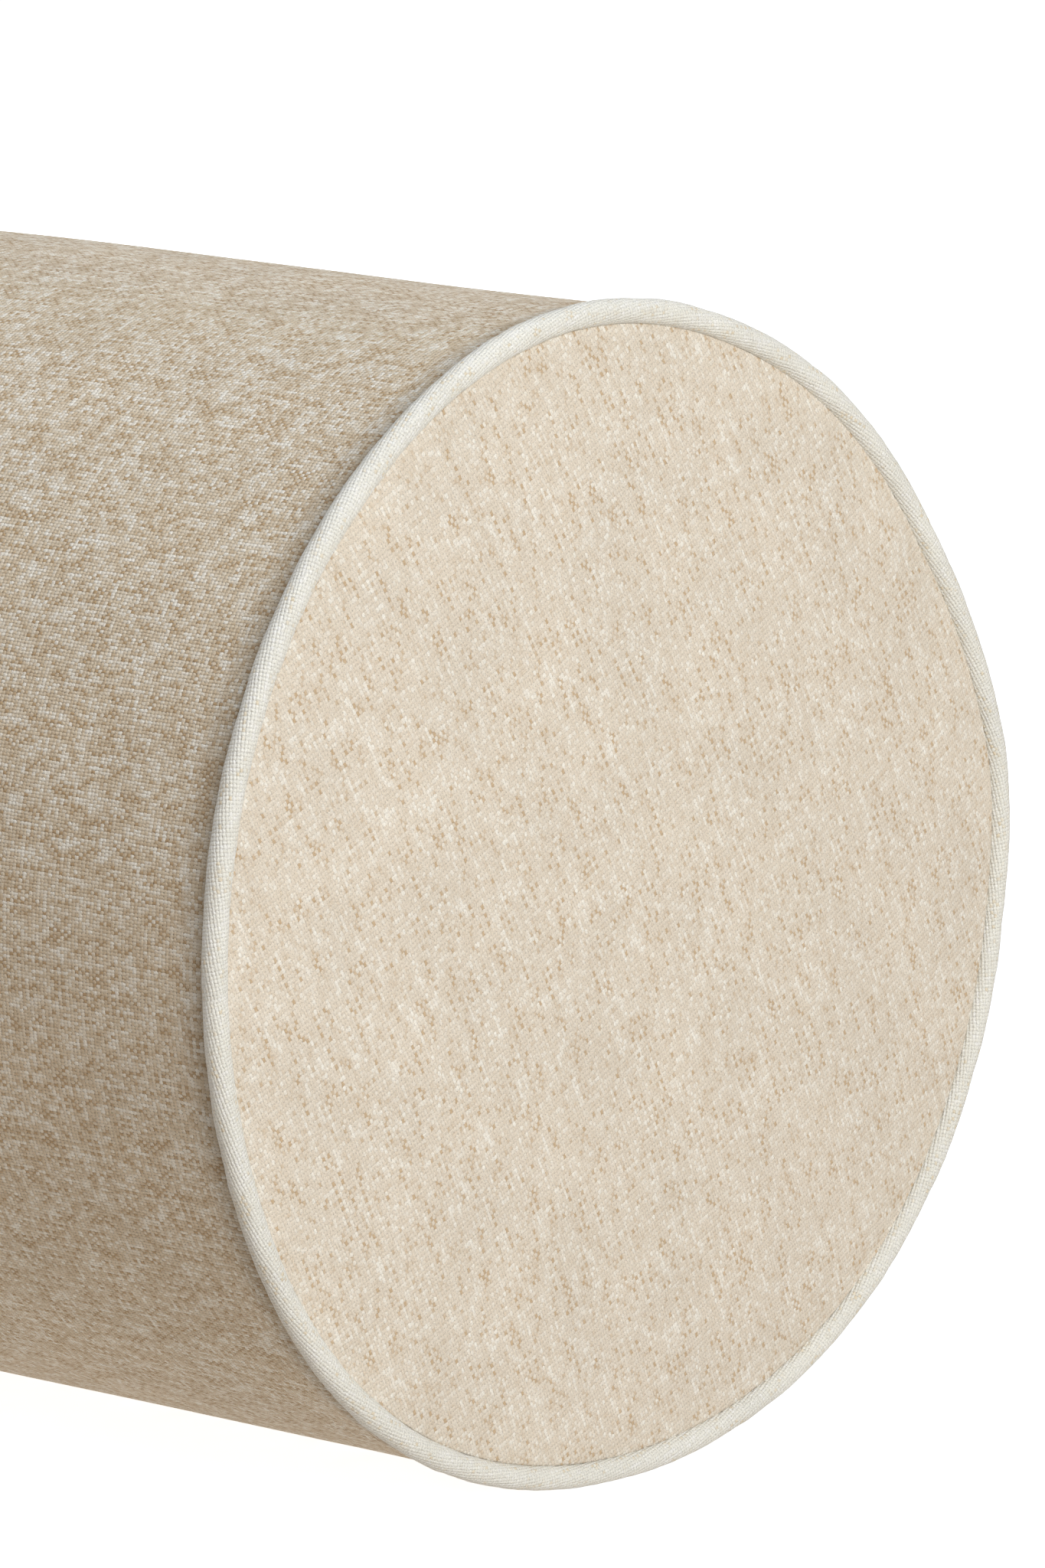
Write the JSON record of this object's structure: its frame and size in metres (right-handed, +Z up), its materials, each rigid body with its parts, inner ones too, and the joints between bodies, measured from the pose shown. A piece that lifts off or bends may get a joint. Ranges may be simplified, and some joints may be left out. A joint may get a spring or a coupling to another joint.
{
  "type": "bolster pillow",
  "caption": "Long cylindrical cushion in a slubby woven cover, with flat piped ends and a zip along one side.",
  "frame": {"origin": "middle of the strip that the bolster rests on, on the supporting surface", "axes": "+X along the bolster to its near end, +Y towards the side with the zip, +Z up"},
  "size_m": [0.6604, 0.2326, 0.23],
  "materials": {
    "woven_cover": "slubby cream and tan weave, matte",
    "piping_cloth": "plain off-white bias-cut cloth, matte",
    "cotton_cord": "soft twisted cotton",
    "calico": "plain unbleached cotton, matte",
    "polyester_wadding": "lofty white fibre",
    "foam": "open-cell upholstery foam",
    "zip_tape": "beige woven polyester tape",
    "nylon_coil": "beige nylon monofilament",
    "stop_metal": "plain pressed metal",
    "slider_enamel": "beige enamel on die-cast zinc"
  },
  "bodies": {
    "bolster": {"cover_body": "woven_cover", "end_panel_near": "woven_cover", "end_panel_far": "woven_cover", "piping_near": "piping_cloth", "piping_far": "piping_cloth", "piping_cord_near": "cotton_cord", "piping_cord_far": "cotton_cord", "casing_body": "calico", "casing_end_near": "calico", "casing_end_far": "calico", "wadding_wrap": "polyester_wadding", "wadding_end_near": "polyester_wadding", "wadding_end_far": "polyester_wadding", "foam_core": "foam", "zip_tape_upper": "zip_tape", "zip_tape_lower": "zip_tape", "zip_coil_upper": "nylon_coil", "zip_coil_lower": "nylon_coil", "zip_top_stop_upper": "stop_metal", "zip_top_stop_lower": "stop_metal", "zip_bottom_stop": "stop_metal"},
    "slider": {"zip_slider": "slider_enamel"},
    "pull": {"zip_pull": "slider_enamel"}
  },
  "joints": [
    {"name": "zip_slide", "type": "slide", "parent": "bolster", "child": "slider", "axis": [1, 0, 0], "range_m": [0, 0.543]},
    {"name": "pull_hinge", "type": "hinge", "parent": "slider", "child": "pull", "pos_m": [-0.2717, 0.11235, 0.14384], "axis": [0, -0.2588, 0.9659], "range_deg": [0, 180]}
  ]
}
